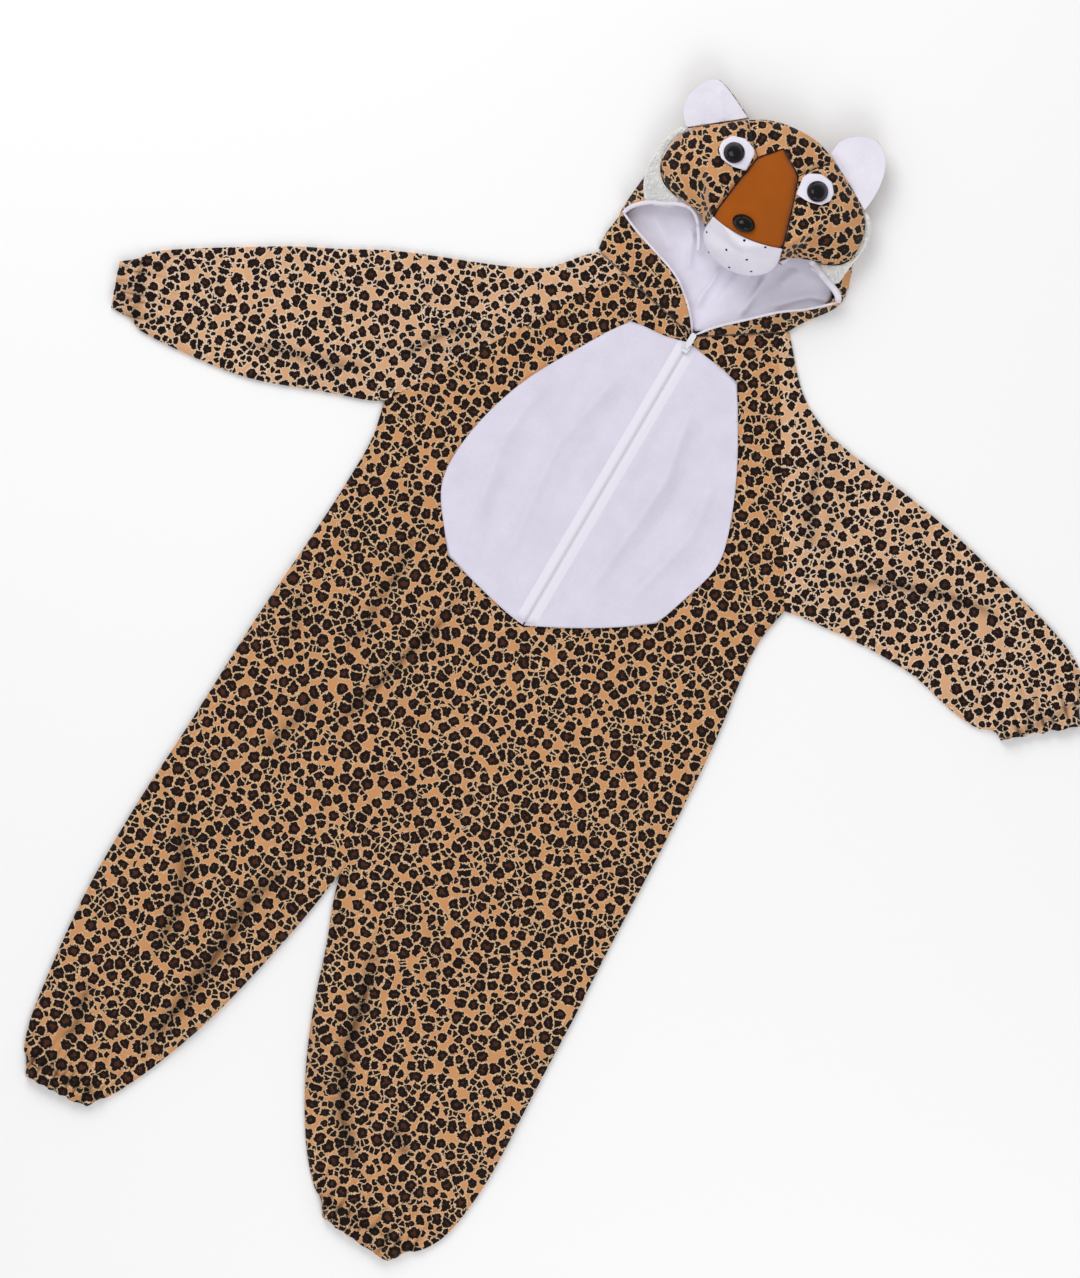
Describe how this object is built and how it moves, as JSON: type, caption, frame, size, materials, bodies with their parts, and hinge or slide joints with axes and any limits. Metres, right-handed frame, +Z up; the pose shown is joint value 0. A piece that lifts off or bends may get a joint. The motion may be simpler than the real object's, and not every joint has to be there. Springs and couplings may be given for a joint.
{
  "type": "child's hooded animal jumpsuit costume",
  "caption": "Child's hooded jumpsuit costume with a spotted big-cat print, a padded animal face on the hood and a front zip, laid out flat.",
  "frame": {"origin": "under the middle of the laid-out costume, on the surface it lies on", "axes": "+Z up from the surface, +Y from the ankles to the hood along the zip, +X to the viewer's right seen from above with the hood up"},
  "size_m": [0.9898, 1.1508, 0.0814],
  "materials": {
    "plush": "short-pile printed plush, soft",
    "white_plush": "short-pile plush, soft",
    "lining": "smooth knitted lining",
    "long_pile": "long soft pile",
    "tan_plush": "short-pile plush, soft",
    "black_plastic": "gloss",
    "zip_tape": "woven tape",
    "zip_plastic": "satin"
  },
  "bodies": {
    "costume": {"front_left": "plush", "front_right": "plush", "back_left": "plush", "back_right": "plush", "sleeve_left": "plush", "sleeve_right": "plush", "hood_left": "plush", "hood_right": "plush", "cheek_left": "plush", "cheek_right": "plush", "ear_back_left": "plush", "ear_back_right": "plush", "forehead": "plush", "ankle_left_casing_front": "plush", "ankle_left_casing_back": "plush", "ankle_right_casing_front": "plush", "ankle_right_casing_back": "plush", "wrist_left_casing_front": "plush", "wrist_left_casing_back": "plush", "wrist_right_casing_front": "plush", "wrist_right_casing_back": "plush", "belly_left": "white_plush", "belly_right": "white_plush", "muzzle": "white_plush", "eye_patch_left": "white_plush", "eye_patch_right": "white_plush", "ear_front_left": "white_plush", "ear_front_right": "white_plush", "hood_lining": "lining", "fur_band_left": "long_pile", "fur_band_right": "long_pile", "bridge": "tan_plush", "eye_left": "black_plastic", "eye_right": "black_plastic", "nose": "black_plastic", "zip_tape_left": "zip_tape", "zip_tape_right": "zip_tape", "zip_coil": "zip_tape", "zip_slider": "zip_plastic"},
    "pull_tab": {"zip_pull": "zip_plastic"}
  },
  "joints": [
    {"name": "pull_tab_hinge", "type": "hinge", "parent": "costume", "child": "pull_tab", "pos_m": [0, 0.32061, 0.014], "axis": [1, 0, 0], "range_deg": [0, 120]}
  ]
}
